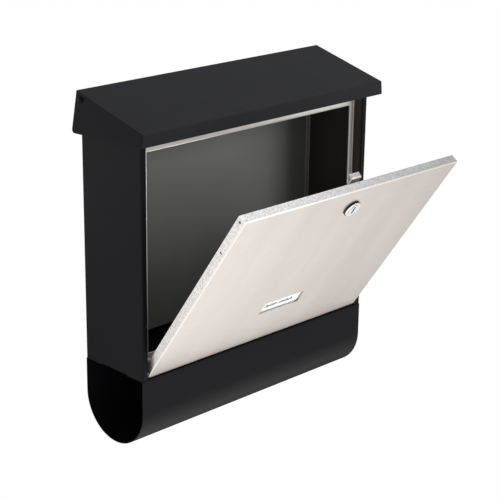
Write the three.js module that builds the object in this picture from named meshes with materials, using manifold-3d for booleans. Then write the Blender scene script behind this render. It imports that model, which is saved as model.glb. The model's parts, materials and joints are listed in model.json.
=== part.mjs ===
// Wall-mounted letterbox with a newspaper tray: folded sheet-steel casing, hinged lid, drop-front door, cam lock.
// Millimetres, +Z up. The wall is the plane Y = 0 and the front faces -Y. The origin is the middle of the back panel.
// Pieces are drawn with Z = 0 at the casing's lower edge, and one group then lowers them to the origin.

import * as THREE from "three";
import { ConvexGeometry } from "three/addons/geometries/ConvexGeometry.js";
import { mergeVertices } from "three/addons/utils/BufferGeometryUtils.js";
import Module from "manifold-3d";

const wasm = await Module();
wasm.setup();

// ---------------------------------------------------------------- driving dimensions
const GAP = 0.3; // between two pieces that touch
const SHEET = 1; // painted steel sheet
const DOOR_SHEET = 0.8; // stainless door sheet
const FOLD = 1.5; // centre-line radius of a fold

const BODY_WIDTH = 365;
const BODY_DEPTH = 100;
const BACK_DROP = 16; // back panel's upper edge below the lid's highest edge
const FRONT_FLANGE = 8.6; // width of the casing's flange beside the door

const FRAME_SHEET = 1.2;
const FRAME_LID_GAP = 4.4; // lid's underside above the frame's front edge
const FRAME_RAIL = 10; // visible width of the frame's uprights
const FRAME_SILL = 26; // height of the opening's lower edge
const FRAME_HEAD = 10.3; // opening's upper edge below the closed door's upper edge
const FRAME_RETURN = 10; // depth of the frame's rear flanges

const FLOOR_FLANGE = 8;
const PLATE_SHEET = 0.8;
const TOP_PANEL_DEPTH = 40;
const TOP_PANEL_REAR = 2; // its rear edge below the back panel's upper edge
const TOP_PANEL_FALL = 10; // how much lower its front edge is
const TOP_PANEL_LIP = 8;

const TRAY_STRAIGHT = 41; // straight wall of the newspaper tray, above its half round
const TRAY_FLANGE = 28;
const RIVET_R = 2;
const RIVET_HEAD_R = 4;
const RIVET_SIDE = 32.5; // outer rivets to the casing's side
const RIVET_INSET = 7; // rivet centre to the edge of a tray flange

const WALL_HOLE_R = 3.5;
const WALL_HOLE_SIDE = 42.5; // hole to the casing's side
const WALL_HOLE_END = 60; // hole to the back panel's upper and lower edges

const LID_SIDE = 9; // lid past the casing on each side
const LID_REAR = 5; // lid's rear edge to the wall
const LID_TOP = 318; // the box's height over the casing's lower edge
const LID_FALL = 28.5; // from the rear edge down to the front lip's fold
const LID_LIP = 15.5;
const LID_OVERHANG = 14.5; // front lip in front of the casing
const LID_FLAP_REAR = 47.5; // height of a side flap at the rear
const LID_FLARE = 4.5; // how far a flap's rear corner stands out
const LID_CORNER_R = 4;
const LID_PIVOT_Y = 12; // pivot to the wall
const LID_PIVOT_DROP = 9.5; // pivot below the lid's highest edge
const LID_PIN_R = 2.1;
const LID_PIN_HEAD_R = 4;
const LID_PIN_HEAD = 1.8;
const KNUCKLE_R = 5; // casing's rounded corner about the lid's pivot
const BUMPER_SIDE = 32.5; // rubber bumpers to the casing's side

const DOOR_CLEAR = 0.8; // door to the recess wall on each side
const DOOR_UNDER_LID = 4.2; // closed door's upper edge below the lid's lip
const DOOR_RETURN = 11;
const STOP_EXTRA = 2.6; // the lower return reaches this much further, under the frame, and stops the door
const DOOR_PROUD = 1;
const DOOR_BEND = 2; // outer radius of the door's edges
const DOOR_OPEN = 34.7; // degrees from closed to the stop
const PIVOT_UP = 4; // hinge pin above the door's lower edge
const PIVOT_IN = 5; // hinge pin behind the door's face
const PIVOT_Z = 6.5; // hinge pin above the casing's lower edge
const PIN_R = 1.3;
const PIN_HEAD_R = 2.6;
const PIN_HEAD = 1.4;
const PIN_REACH = 8; // pin's length inside the casing's recess wall
const BUSH_R = 2.3;
const BUSH_FLANGE_R = 2.9;
const DRAIN_HOLES = [5, 53.5]; // small holes in the side returns, below the door's upper edge
const DRAIN_R = 1.5;
const DRAIN_IN = 6;

const CARD_X = -1;
const CARD_Z = 71;
const CARD_WINDOW = [65, 20];
const CARD_MARGIN = 3; // window and card past the cut-out, each way
const CARD_THICK = 0.3;
const WINDOW_THICK = 1;
const HOLDER_WALL = 2;

const LOCK_X = 9;
const LOCK_DROP = 31.3; // lock's axis below the door's upper edge
const LOCK_BARREL_R = 9;
const LOCK_FLANGE = 1.5; // head past the barrel
const LOCK_HEAD = 1;
const LOCK_SEAL = 1.5;
const LOCK_LENGTH = 14.4; // barrel behind the door's face
const LOCK_WALL = 1.7; // barrel's wall around the plug
const PLUG_PROUD = 0.4;
const KEY_SLOT = [2.5, 11];
const KEY_DEPTH = 9;
const NUT_WALL = 3.5; // nut past the barrel, across its flats
const NUT_THICK = 4;
const CAM_WIDTH = 16;
const CAM_THICK = 2;
const CAM_REACH = 32; // from the lock's axis to the cam's bend
const CAM_TIP = 6;
const CAM_BEND = 80; // degrees
const SCREW_R = 2;
const SCREW_HEAD_R = 3.6;
const SCREW_HEAD = 2;
const SCREW_GRIP = 7;
const WASHER_R = 5;
const WASHER_THICK = 0.8;

const BUFFER_R = 4;
const BUFFER_THICK = 1.4;

// ---------------------------------------------------------------- derived places
const halfWidth = BODY_WIDTH / 2;
const lidWidth = BODY_WIDTH + 2 * LID_SIDE;
const lidFrontZ = LID_TOP - LID_FALL;
const lipBottom = lidFrontZ - LID_LIP;
const lidPivotZ = LID_TOP - LID_PIVOT_DROP;
const backHeight = LID_TOP - BACK_DROP;
const bumperX = halfWidth - BUMPER_SIDE;
const recessX = halfWidth - FRONT_FLANGE; // inner face of the recess wall beside the door
const frameFace = -BODY_DEPTH - DOOR_PROUD + DOOR_RETURN + BUFFER_THICK + 2 * GAP;
const frameBack = frameFace + FRAME_SHEET;
const insideX = halfWidth - SHEET - GAP; // what fits between the side walls
const pivotY = -BODY_DEPTH - DOOR_PROUD + PIVOT_IN;
const lidFrontY = -BODY_DEPTH - LID_OVERHANG;
const lidSlope = Math.atan2(LID_FALL, -LID_REAR - lidFrontY);
const lidUnderside = (y) => LID_TOP - (-LID_REAR - y) * Math.tan(lidSlope) - SHEET / Math.cos(lidSlope);
const frameTop = lidUnderside(frameFace) - FRAME_LID_GAP;
const doorWidth = 2 * (recessX - DOOR_CLEAR);
const doorLow = PIVOT_Z - PIVOT_UP; // closed door's lower edge
const doorHeight = lipBottom - DOOR_UNDER_LID - doorLow;
const doorStopReturn = DOOR_RETURN + STOP_EXTRA;
const frameHead = doorLow + doorHeight - FRAME_HEAD;
const lockZ = doorHeight - LOCK_DROP;
const plugR = LOCK_BARREL_R - LOCK_WALL - GAP;
const lockHeadR = LOCK_BARREL_R + LOCK_FLANGE;
const openAngle = THREE.MathUtils.degToRad(DOOR_OPEN);

// The frame's lower edge stands just over the door's lower return when the door is fully open.
const underFrame = frameBack - pivotY;
const returnTop = PIVOT_UP - DOOR_SHEET;
const stopRise = (underFrame * Math.sin(openAngle) - returnTop) / Math.cos(openAngle);
const frameBottom = PIVOT_Z + stopRise + GAP;

// The floor's front flange stays behind the furthest reach of the door's lower return.
const returnReach = Math.hypot(doorStopReturn - PIVOT_IN, PIVOT_UP);
const floorFront = pivotY + returnReach + 2 * GAP;

// ---------------------------------------------------------------- materials
const paint = new THREE.MeshStandardMaterial({ color: 0x2b2b2d, roughness: 0.55, metalness: 0.1 });
const greyCoat = new THREE.MeshStandardMaterial({ color: 0x5c5d5a, roughness: 0.5, metalness: 0.3 });
const stainless = new THREE.MeshStandardMaterial({ color: 0xd6cec8, roughness: 0.35, metalness: 1 });
const galvanised = new THREE.MeshStandardMaterial({ color: 0xb9b8b4, roughness: 0.4, metalness: 1 });
const chrome = new THREE.MeshStandardMaterial({ color: 0xe8e8ea, roughness: 0.1, metalness: 1 });
const rubber = new THREE.MeshStandardMaterial({ color: 0x0c0c0c, roughness: 0.8 });
const nylon = new THREE.MeshStandardMaterial({ color: 0xf2f2ee, roughness: 0.5 });
const clear = new THREE.MeshStandardMaterial({ color: 0xf4f8fa, roughness: 0.05, opacity: 0.3, transparent: true });
const paper = new THREE.MeshStandardMaterial({ color: 0xfcfcfa, roughness: 0.9 });
const whitePlastic = new THREE.MeshStandardMaterial({ color: 0xeceae4, roughness: 0.5 });

// ---------------------------------------------------------------- helpers
function solid(geometry) {
  const bare = geometry.clone();
  bare.deleteAttribute("normal");
  bare.deleteAttribute("uv");
  const merged = mergeVertices(bare, 1e-4);
  const mesh = { numProp: 3, vertProperties: merged.attributes.position.array, triVerts: merged.index.array };
  return new wasm.Manifold(new wasm.Mesh({ ...mesh, triVerts: Uint32Array.from(mesh.triVerts) }));
}

function geometryOf(manifold) {
  const mesh = manifold.getMesh();
  const geometry = new THREE.BufferGeometry();
  geometry.setAttribute("position", new THREE.BufferAttribute(mesh.vertProperties, 3));
  geometry.setIndex(new THREE.BufferAttribute(mesh.triVerts, 1));
  return geometry;
}

function piece(name, manifold, material) {
  const mesh = new THREE.Mesh(geometryOf(manifold), material);
  mesh.name = name;
  return mesh;
}

function box([x0, x1], [y0, y1], [z0, z1]) {
  const geometry = new THREE.BoxGeometry(x1 - x0, y1 - y0, z1 - z0);
  return solid(geometry.translate((x0 + x1) / 2, (y0 + y1) / 2, (z0 + z1) / 2));
}

// A round bar or a turned piece: profile is [radius, height] pairs, and it turns about the chosen axis.
function turned(profile, axis, [x, y, z], segments = 40) {
  const points = profile.map(([r, h]) => new THREE.Vector2(r, h));
  const geometry = new THREE.LatheGeometry(points, segments);
  if (axis === "x") geometry.rotateZ(-Math.PI / 2);
  if (axis === "z") geometry.rotateX(Math.PI / 2);
  return solid(geometry.translate(x, y, z));
}

function bar(radius, axis, from, to, [x, y, z], segments = 40) {
  const profile = [[0, from], [radius, from], [radius, to], [0, to]];
  return turned(profile, axis, [x, y, z], segments);
}

// A shape drawn in Y and Z, drawn out along X.
function alongX(shape, x0, x1) {
  const geometry = new THREE.ExtrudeGeometry(shape, { depth: x1 - x0, bevelEnabled: false, curveSegments: 8 });
  const turn = new THREE.Matrix4().makeBasis(
    new THREE.Vector3(0, 1, 0), new THREE.Vector3(0, 0, 1), new THREE.Vector3(1, 0, 0));
  return solid(geometry.applyMatrix4(turn).translate(x0, 0, 0));
}

// A shape drawn in X and Y, drawn out along Z.
function alongZ(shape, z0, z1) {
  const geometry = new THREE.ExtrudeGeometry(shape, { depth: z1 - z0, bevelEnabled: false, curveSegments: 8 });
  return solid(geometry.translate(0, 0, z0));
}

// A shape drawn in X and Z, drawn out along Y.
function alongY(shape, y0, y1) {
  const geometry = new THREE.ExtrudeGeometry(shape, { depth: y1 - y0, bevelEnabled: false, curveSegments: 10 });
  return solid(geometry.rotateX(Math.PI / 2).translate(0, y1, 0));
}

// One corner of a folded strip's centre line as the points of its arc.
function foldArc(before, corner, after, radius) {
  const u = before.clone().sub(corner).normalize();
  const v = after.clone().sub(corner).normalize();
  const half = Math.acos(THREE.MathUtils.clamp(u.dot(v), -1, 1)) / 2;
  const centre = corner.clone().addScaledVector(u.clone().add(v).normalize(), radius / Math.sin(half));
  const start = corner.clone().addScaledVector(u, radius / Math.tan(half)).sub(centre);
  const end = corner.clone().addScaledVector(v, radius / Math.tan(half)).sub(centre);
  const sweep = Math.atan2(start.cross(end), start.dot(end));
  const steps = radius > 10 ? 16 : 4;
  const points = [];
  for (let i = 0; i <= steps; i++) {
    points.push(start.clone().rotateAround(new THREE.Vector2(), (sweep * i) / steps).add(centre));
  }
  return points;
}

// The outline of a folded strip. Each point of the centre line is [x, y], or [x, y, radius] for a wider fold.
function folded(line, thickness) {
  const corners = line.map(([x, y]) => new THREE.Vector2(x, y));
  const path = corners.flatMap((corner, i) => {
    if (i === 0 || i === corners.length - 1) return [corner];
    return foldArc(corners[i - 1], corner, corners[i + 1], line[i][2] ?? FOLD);
  });
  const side = (sign) => path.map((p, i) => {
    const a = path[Math.max(i - 1, 0)];
    const b = path[Math.min(i + 1, path.length - 1)];
    const before = (i ? p.clone().sub(a) : b.clone().sub(p)).normalize();
    const after = (i < path.length - 1 ? b.clone().sub(p) : p.clone().sub(a)).normalize();
    const normal = new THREE.Vector2(-before.y - after.y, before.x + after.x).normalize();
    const mitre = normal.dot(new THREE.Vector2(-before.y, before.x));
    return p.clone().addScaledVector(normal, (sign * thickness) / 2 / mitre);
  });
  return new THREE.Shape([...side(1), ...side(-1).reverse()]);
}

const mirrored = (sign, low, high) => (sign > 0 ? [low, high] : [-high, -low]);
const sides = [["left", -1], ["right", 1]];

// ---------------------------------------------------------------- casing
// The side walls' silhouette: it rounds the lid's pivot and then runs down to the front, just under the lid.
function sideSilhouette() {
  const shape = new THREE.Shape();
  const tangent = Math.PI / 2 + lidSlope;
  const topX = -LID_PIVOT_Y + KNUCKLE_R * Math.cos(tangent);
  const topZ = lidPivotZ + KNUCKLE_R * Math.sin(tangent);
  const front = -BODY_DEPTH - SHEET;
  shape.moveTo(SHEET, -SHEET);
  shape.lineTo(SHEET, backHeight);
  shape.lineTo(-2 * SHEET, backHeight);
  shape.absarc(-LID_PIVOT_Y, lidPivotZ, KNUCKLE_R, -Math.PI / 6, tangent, false);
  shape.lineTo(front, topZ - (topX - front) * Math.tan(lidSlope));
  shape.lineTo(front, -SHEET);
  return shape;
}

function withWallHoles(sheet) {
  const through = 2 * (SHEET + GAP + PLATE_SHEET);
  let drilled = sheet;
  for (const x of [WALL_HOLE_SIDE - halfWidth, halfWidth - WALL_HOLE_SIDE]) {
    for (const z of [WALL_HOLE_END, backHeight - WALL_HOLE_END]) {
      drilled = drilled.subtract(bar(WALL_HOLE_R, "y", -through, through, [x, 0, z], 24));
    }
  }
  return drilled;
}

function makeCasing() {
  const sideLine = halfWidth - SHEET / 2;
  const recessLine = recessX + SHEET / 2;
  const frontLine = -BODY_DEPTH + SHEET / 2;
  const half = [[recessLine, frameFace - GAP], [recessLine, frontLine], [sideLine, frontLine], [sideLine, -SHEET / 2]];
  const line = [...half, ...half.map(([x, y]) => [-x, y]).reverse()];
  let casing = alongZ(folded(line, SHEET), 0, LID_TOP).intersect(alongX(sideSilhouette(), -halfWidth, halfWidth));
  casing = withWallHoles(casing);
  casing = casing.subtract(bar(LID_PIN_R + GAP, "x", -halfWidth - 1, halfWidth + 1, [0, -LID_PIVOT_Y, lidPivotZ]));
  for (const [, sign] of sides) {
    const [from, to] = mirrored(sign, recessX - SHEET, recessX + 2 * SHEET);
    casing = casing.subtract(bar(PIN_R + GAP, "x", from, to, [0, pivotY, PIVOT_Z]));
  }
  return piece("casing_wrap", casing, paint);
}

// The grey plate inside the back, between the floor's and the top panel's rear flanges.
function makeBackPlate() {
  const face = -SHEET - GAP;
  const top = backHeight - TOP_PANEL_REAR - TOP_PANEL_FALL - GAP;
  const plate = box([-insideX, insideX], [face - PLATE_SHEET, face], [FLOOR_FLANGE + GAP, top]);
  return piece("back_plate", withWallHoles(plate), greyCoat);
}

// The bright frame behind the door: a plate with the opening, flanged to the rear at both sides and on top.
function makeFrame() {
  const openX = recessX - FRAME_RAIL;
  const flangeBack = frameBack + FRAME_RETURN;
  const inner = insideX - FRAME_SHEET;
  const frame = box([-insideX, insideX], [frameFace, flangeBack], [frameBottom, frameTop])
    .subtract(box([-inner, inner], [frameBack, flangeBack + 1], [frameBottom - 1, frameTop - FRAME_SHEET]))
    .subtract(box([-openX, openX], [frameFace - 1, frameBack + 1], [FRAME_SILL, frameHead]));
  return piece("front_frame", frame, galvanised);
}

function rivetPlaces() {
  const frontRow = -BODY_DEPTH + TRAY_FLANGE - RIVET_INSET;
  const rearRow = -TRAY_FLANGE + RIVET_INSET;
  return [["front", frontRow], ["rear", rearRow]].flatMap(([row, y]) =>
    [["left", RIVET_SIDE - halfWidth], ["middle", 0], ["right", halfWidth - RIVET_SIDE]].map(([at, x]) => [`${row}_${at}`, x, y]));
}

function makeFloor() {
  const back = -SHEET - GAP;
  const outer = box([-insideX, insideX], [floorFront, back], [0, FLOOR_FLANGE]);
  const inner = box([-insideX + SHEET, insideX - SHEET], [floorFront + SHEET, back - SHEET], [SHEET, FLOOR_FLANGE + 1]);
  const floor = rivetPlaces().reduce(
    (made, [, x, y]) => made.subtract(bar(RIVET_R + GAP, "z", -1, 2 * SHEET, [x, y, 0])), outer.subtract(inner));
  return piece("floor_panel", floor, paint);
}

function makeTopPanel() {
  const rear = -SHEET - GAP - SHEET / 2;
  const front = -TOP_PANEL_DEPTH;
  const high = backHeight - TOP_PANEL_REAR;
  const low = high - TOP_PANEL_FALL;
  const line = [[rear, low], [rear, high], [front, low], [front, low - TOP_PANEL_LIP]];
  return piece("top_panel", alongX(folded(line, SHEET), -insideX, insideX), paint);
}

// ---------------------------------------------------------------- newspaper tray
function makeTray() {
  const top = -GAP - SHEET / 2;
  const bottom = -TRAY_STRAIGHT - BODY_DEPTH / 2 + SHEET / 2;
  const front = -BODY_DEPTH + SHEET / 2;
  const rear = -SHEET / 2;
  const round = (rear - front) / 2 - 0.001; // a hair under half, so that the two arcs don't cross
  const line = [[-BODY_DEPTH + TRAY_FLANGE, top], [front, top], [front, bottom, round], [rear, bottom, round],
    [rear, top], [-TRAY_FLANGE, top]];
  const tray = rivetPlaces().reduce(
    (made, [, x, y]) => made.subtract(bar(RIVET_R + GAP, "z", -3 * SHEET, SHEET, [x, y, 0])),
    alongX(folded(line, SHEET), -halfWidth, halfWidth));
  return piece("newspaper_tray", tray, paint);
}

function makeRivet([place, x, y]) {
  const under = -SHEET - 2 * GAP;
  const above = SHEET + GAP;
  const profile = [[0, under - 1.2], [RIVET_HEAD_R * 0.6, under - 1.1], [RIVET_HEAD_R, under - 0.4],
    [RIVET_HEAD_R, under], [RIVET_R, under], [RIVET_R, above], [RIVET_R + 1, above], [RIVET_R + 0.6, above + 1.3],
    [0, above + 1.6]];
  return piece(`tray_rivet_${place}`, turned(profile, "z", [x, y, 0], 20), galvanised);
}

// ---------------------------------------------------------------- lid
const lidLine = { back: [-LID_REAR, LID_TOP], front: [lidFrontY, lidFrontZ] };

// How far a point lies under the lid's sloping top, measured square to it.
function underLid(y, z) {
  const [y0, z0] = lidLine.back;
  return (z0 - z) * Math.cos(lidSlope) + (y - y0) * Math.sin(lidSlope);
}

function lidBlock(profile, inset) {
  const flare = LID_FLARE / (LID_FLAP_REAR * Math.cos(lidSlope));
  const points = profile.flatMap(([y, z]) => {
    const x = lidWidth / 2 - inset + flare * underLid(y, z);
    return [new THREE.Vector3(-x, y, z), new THREE.Vector3(x, y, z)];
  });
  return solid(new ConvexGeometry(points));
}

function makeLid() {
  const flapBottom = LID_TOP - LID_FLAP_REAR;
  const corner = [];
  for (let i = 0; i <= 4; i++) {
    const angle = (-Math.PI / 2) * (i / 4);
    corner.push([-SHEET - LID_CORNER_R * (1 - Math.cos(angle)), flapBottom + LID_CORNER_R * (1 + Math.sin(angle))]);
  }
  const outer = lidBlock([lidLine.back, lidLine.front, [lidFrontY, lipBottom], ...corner], 0);
  const past = 5; // the inner block runs past the open bottom and back
  const innerFront = lidFrontY + SHEET;
  const inner = lidBlock([[past, lidUnderside(past)], [innerFront, lidUnderside(innerFront)], [innerFront, flapBottom - past],
    [past, flapBottom - past]], SHEET);
  const reach = lidWidth;
  const hole = bar(LID_PIN_R + GAP, "x", -reach, reach, [0, -LID_PIVOT_Y, lidPivotZ]);
  return piece("lid_cover", outer.subtract(inner).subtract(hole), paint);
}

// The flap's outer face at the pin, at the height of the pin head's lower edge.
function flapOutside() {
  const flare = LID_FLARE / (LID_FLAP_REAR * Math.cos(lidSlope));
  return lidWidth / 2 + flare * underLid(-LID_PIVOT_Y, lidPivotZ - LID_PIN_HEAD_R);
}

function makeLidPin([name, sign]) {
  const inside = halfWidth - SHEET - GAP;
  const outside = flapOutside() + GAP;
  const profile = [[0, inside - 1.2], [LID_PIN_HEAD_R - 0.8, inside - 1.2], [LID_PIN_HEAD_R - 0.8, inside],
    [LID_PIN_R, inside], [LID_PIN_R, outside], [LID_PIN_HEAD_R, outside], [LID_PIN_HEAD_R, outside + 0.5],
    [LID_PIN_HEAD_R * 0.6, outside + LID_PIN_HEAD - 0.3], [0, outside + LID_PIN_HEAD]];
  const pin = turned(profile, "x", [0, -LID_PIVOT_Y, lidPivotZ], 24);
  return piece(`lid_pivot_pin_${name}`, sign > 0 ? pin : pin.mirror([1, 0, 0]), galvanised);
}

function makeLidSpacer([name, sign]) {
  const flapInside = lidWidth / 2 - SHEET;
  const [from, to] = mirrored(sign, halfWidth + GAP, flapInside - GAP);
  const outer = bar(KNUCKLE_R - 0.6, "x", from, to, [0, -LID_PIVOT_Y, lidPivotZ], 24);
  const bore = bar(LID_PIN_R + GAP, "x", from - 1, to + 1, [0, -LID_PIVOT_Y, lidPivotZ], 24);
  return piece(`lid_spacer_${name}`, outer.subtract(bore), nylon);
}

function makeLidBumper([name, sign]) {
  const y = frameBack + FRAME_RETURN / 2;
  const low = frameTop + GAP;
  const high = lidUnderside(y - BUFFER_R) - GAP;
  const profile = [[0, low], [BUFFER_R, low], [BUFFER_R, high - 1], [BUFFER_R - 1, high], [0, high]];
  return piece(`lid_bumper_${name}`, turned(profile, "z", [sign * bumperX, y, 0], 24), rubber);
}

// ---------------------------------------------------------------- door hinge and buffers
function makeDoorPin([name, sign]) {
  const inner = recessX - PIN_REACH;
  const seat = recessX + SHEET + GAP;
  const profile = [[0, inner], [PIN_R - 0.3, inner], [PIN_R, inner + 0.3], [PIN_R, seat], [PIN_HEAD_R, seat],
    [PIN_HEAD_R, seat + PIN_HEAD], [0, seat + PIN_HEAD]];
  const pin = turned(profile, "x", [0, pivotY, PIVOT_Z], 24);
  return piece(`door_hinge_pin_${name}`, sign > 0 ? pin : pin.mirror([1, 0, 0]), galvanised);
}

function makeDoorBuffer([name, sign]) {
  const back = frameFace - GAP;
  const front = -BODY_DEPTH - DOOR_PROUD + DOOR_RETURN + GAP;
  const closedTop = doorLow + doorHeight - DOOR_SHEET / 2;
  const place = [sign * bumperX, 0, closedTop];
  return piece(`door_buffer_${name}`, bar(BUFFER_R, "y", front, back, place, 24), rubber);
}

// ---------------------------------------------------------------- door, drawn closed with its lower front edge at 0, 0
const doorHalf = doorWidth / 2;

// A block with the door's rounded front edges, inset all round by the sheet's thickness for the inside.
function doorBlock(inset, back) {
  const r = DOOR_BEND - inset;
  const rounded = (a0, a1) => {
    const shape = new THREE.Shape();
    shape.moveTo(a1, back);
    shape.lineTo(a0, back);
    shape.absarc(a0 + r, inset + r, r, Math.PI, 1.5 * Math.PI, false);
    shape.absarc(a1 - r, inset + r, r, 1.5 * Math.PI, 2 * Math.PI, false);
    return shape;
  };
  const plan = alongZ(rounded(-doorHalf + inset, doorHalf - inset), inset, doorHeight - inset);
  const flip = new THREE.Matrix4().makeBasis(
    new THREE.Vector3(0, 0, 1), new THREE.Vector3(0, 1, 0), new THREE.Vector3(-1, 0, 0));
  const depth = doorWidth - 2 * inset;
  const profile = new THREE.ExtrudeGeometry(rounded(inset, doorHeight - inset), {
    depth, bevelEnabled: false, curveSegments: 8 });
  return plan.intersect(solid(profile.applyMatrix4(flip).translate(doorHalf - inset, 0, 0)));
}

function makeDoor() {
  const extension = box([-doorHalf + PIN_REACH, doorHalf - PIN_REACH],
    [DOOR_RETURN - 1, doorStopReturn], [0, DOOR_SHEET]);
  let door = doorBlock(0, DOOR_RETURN).subtract(doorBlock(DOOR_SHEET, DOOR_RETURN + 1)).add(extension);
  for (const drop of DRAIN_HOLES) {
    const hole = bar(DRAIN_R, "x", -doorHalf - 1, doorHalf + 1, [0, DRAIN_IN, doorHeight - drop], 20);
    door = door.subtract(hole);
  }
  door = door.subtract(bar(BUSH_R + GAP, "x", -doorHalf - 1, doorHalf + 1, [0, PIVOT_IN, PIVOT_UP], 24));
  door = door.subtract(bar(LOCK_BARREL_R + GAP, "y", -1, 2, [LOCK_X, 0, lockZ]));
  const [w, h] = CARD_WINDOW;
  door = door.subtract(box([CARD_X - w / 2, CARD_X + w / 2], [-1, 2], [CARD_Z - h / 2, CARD_Z + h / 2]));
  return piece("door_skin", door, stainless);
}

function makeBush([name, sign]) {
  const flange = doorHalf - DOOR_SHEET - GAP;
  const end = recessX - GAP;
  const profile = [[PIN_R + GAP, flange - 4], [BUSH_R, flange - 4], [BUSH_R, flange - 1.2],
    [BUSH_FLANGE_R, flange - 1.2], [BUSH_FLANGE_R, flange], [BUSH_R, flange], [BUSH_R, end], [PIN_R + GAP, end],
    [PIN_R + GAP, flange - 4]];
  const bush = turned(profile, "x", [0, PIVOT_IN, PIVOT_UP], 24);
  return piece(`door_hinge_bush_${name}`, sign > 0 ? bush : bush.mirror([1, 0, 0]), nylon);
}

// ---------------------------------------------------------------- name plate, behind its cut-out in the door
function cardBlock(margin, from, to) {
  const [w, h] = CARD_WINDOW;
  return box([CARD_X - w / 2 - margin, CARD_X + w / 2 + margin], [from, to],
    [CARD_Z - h / 2 - margin, CARD_Z + h / 2 + margin]);
}

function makeNamePlate() {
  const windowFront = DOOR_SHEET + GAP;
  const cardFront = windowFront + WINDOW_THICK + GAP;
  const holderFront = cardFront + CARD_THICK + GAP;
  const pocket = cardBlock(CARD_MARGIN + GAP, windowFront - 1, holderFront);
  const holder = cardBlock(CARD_MARGIN + GAP + HOLDER_WALL, windowFront, holderFront + HOLDER_WALL / 2);
  return [
    piece("name_window", cardBlock(CARD_MARGIN, windowFront, windowFront + WINDOW_THICK), clear),
    piece("name_card", cardBlock(CARD_MARGIN, cardFront, cardFront + CARD_THICK), paper),
    piece("card_holder", holder.subtract(pocket), whitePlastic),
  ];
}

// ---------------------------------------------------------------- cam lock
const lockAt = [LOCK_X, 0, lockZ];
const headBack = -LOCK_SEAL - 2 * GAP;
const camFront = LOCK_LENGTH + 2 * GAP;
const camBack = camFront + CAM_THICK;

function makeLockHousing() {
  const face = headBack - LOCK_HEAD;
  const profile = [[plugR + GAP, face], [lockHeadR - 0.8, face], [lockHeadR, face + 0.8],
    [lockHeadR, headBack], [LOCK_BARREL_R, headBack], [LOCK_BARREL_R, LOCK_LENGTH],
    [plugR + GAP, LOCK_LENGTH], [plugR + GAP, face]];
  return piece("lock_housing", turned(profile, "y", lockAt), chrome);
}

function makeLockSeal() {
  const ring = bar(lockHeadR + 0.4, "y", headBack + GAP, -GAP, lockAt);
  return piece("lock_seal", ring.subtract(bar(LOCK_BARREL_R + GAP, "y", -3, 1, lockAt)), rubber);
}

function makeLockNut() {
  const from = DOOR_SHEET + GAP;
  const nut = bar((2 * (LOCK_BARREL_R + NUT_WALL)) / Math.sqrt(3), "y", from, from + NUT_THICK, lockAt, 6);
  return piece("lock_nut", nut.subtract(bar(LOCK_BARREL_R + GAP, "y", 0, from + NUT_THICK + 1, lockAt)), galvanised);
}

function keySlot() {
  const [w, h] = KEY_SLOT;
  const r = w / 2;
  const shape = new THREE.Shape();
  shape.absarc(LOCK_X, lockZ + h / 2 - r, r, 0, Math.PI, false);
  shape.absarc(LOCK_X, lockZ - h / 2 + r, r, Math.PI, 2 * Math.PI, false);
  return shape;
}

function makePlug() {
  const face = headBack - LOCK_HEAD - PLUG_PROUD;
  const end = LOCK_LENGTH + GAP;
  const slot = alongY(keySlot(), face - 1, face + KEY_DEPTH);
  const thread = bar(SCREW_R + GAP, "y", end - SCREW_GRIP, end + 1, lockAt, 24);
  return piece("lock_plug", bar(plugR, "y", face, end, lockAt).subtract(slot).subtract(thread), chrome);
}

function makeCam() {
  const middle = (camFront + camBack) / 2;
  const bend = THREE.MathUtils.degToRad(CAM_BEND);
  const low = lockZ - CAM_WIDTH / 2;
  const turn = lockZ + CAM_REACH;
  const line = [[middle, low], [middle, turn], [middle + CAM_TIP * Math.sin(bend), turn + CAM_TIP * Math.cos(bend)]];
  const r = CAM_WIDTH / 2;
  const strip = alongX(folded(line, CAM_THICK), LOCK_X - r, LOCK_X + r);
  const outline = new THREE.Shape();
  outline.absarc(LOCK_X, lockZ, r, Math.PI, 2 * Math.PI, false);
  outline.lineTo(LOCK_X + r, turn + 2 * CAM_TIP);
  outline.lineTo(LOCK_X - r, turn + 2 * CAM_TIP);
  const cam = strip.intersect(alongY(outline, camFront - 1, camBack + CAM_TIP));
  return piece("lock_cam", cam.subtract(bar(SCREW_R + GAP, "y", camFront - 1, camBack + 1, lockAt, 24)), galvanised);
}

function makeCamScrew() {
  const washer = camBack + GAP;
  const seat = washer + WASHER_THICK + GAP;
  const ring = bar(WASHER_R, "y", washer, washer + WASHER_THICK, lockAt, 24)
    .subtract(bar(SCREW_R + GAP, "y", washer - 1, seat, lockAt, 24));
  const profile = [[0, camFront - SCREW_GRIP + 2], [SCREW_R, camFront - SCREW_GRIP + 2], [SCREW_R, seat],
    [SCREW_HEAD_R, seat], [SCREW_HEAD_R, seat + SCREW_HEAD - 0.6], [SCREW_HEAD_R - 0.8, seat + SCREW_HEAD],
    [0, seat + SCREW_HEAD]];
  return [piece("cam_washer", ring, galvanised), piece("cam_screw", turned(profile, "y", lockAt, 24), galvanised)];
}

// ---------------------------------------------------------------- assembly
const body = new THREE.Group();
body.add(makeCasing(), makeBackPlate(), makeFrame(), makeFloor(), makeTopPanel(), makeTray(), makeLid());
body.add(...rivetPlaces().map(makeRivet));
for (const side of sides) {
  body.add(makeLidPin(side), makeLidSpacer(side), makeLidBumper(side), makeDoorPin(side), makeDoorBuffer(side));
}

const door = new THREE.Group();
door.add(makeDoor(), ...sides.map(makeBush), ...makeNamePlate());
door.add(makeLockHousing(), makeLockSeal(), makeLockNut(), makePlug(), makeCam(), ...makeCamScrew());
door.position.set(0, -PIVOT_IN, -PIVOT_UP);

const hinge = new THREE.Group();
hinge.add(door);
hinge.position.set(0, pivotY, PIVOT_Z);
hinge.rotation.x = openAngle;
body.add(hinge);
body.position.z = -backHeight / 2;

const mailbox = new THREE.Group();
mailbox.add(body);

export default mailbox;
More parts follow.
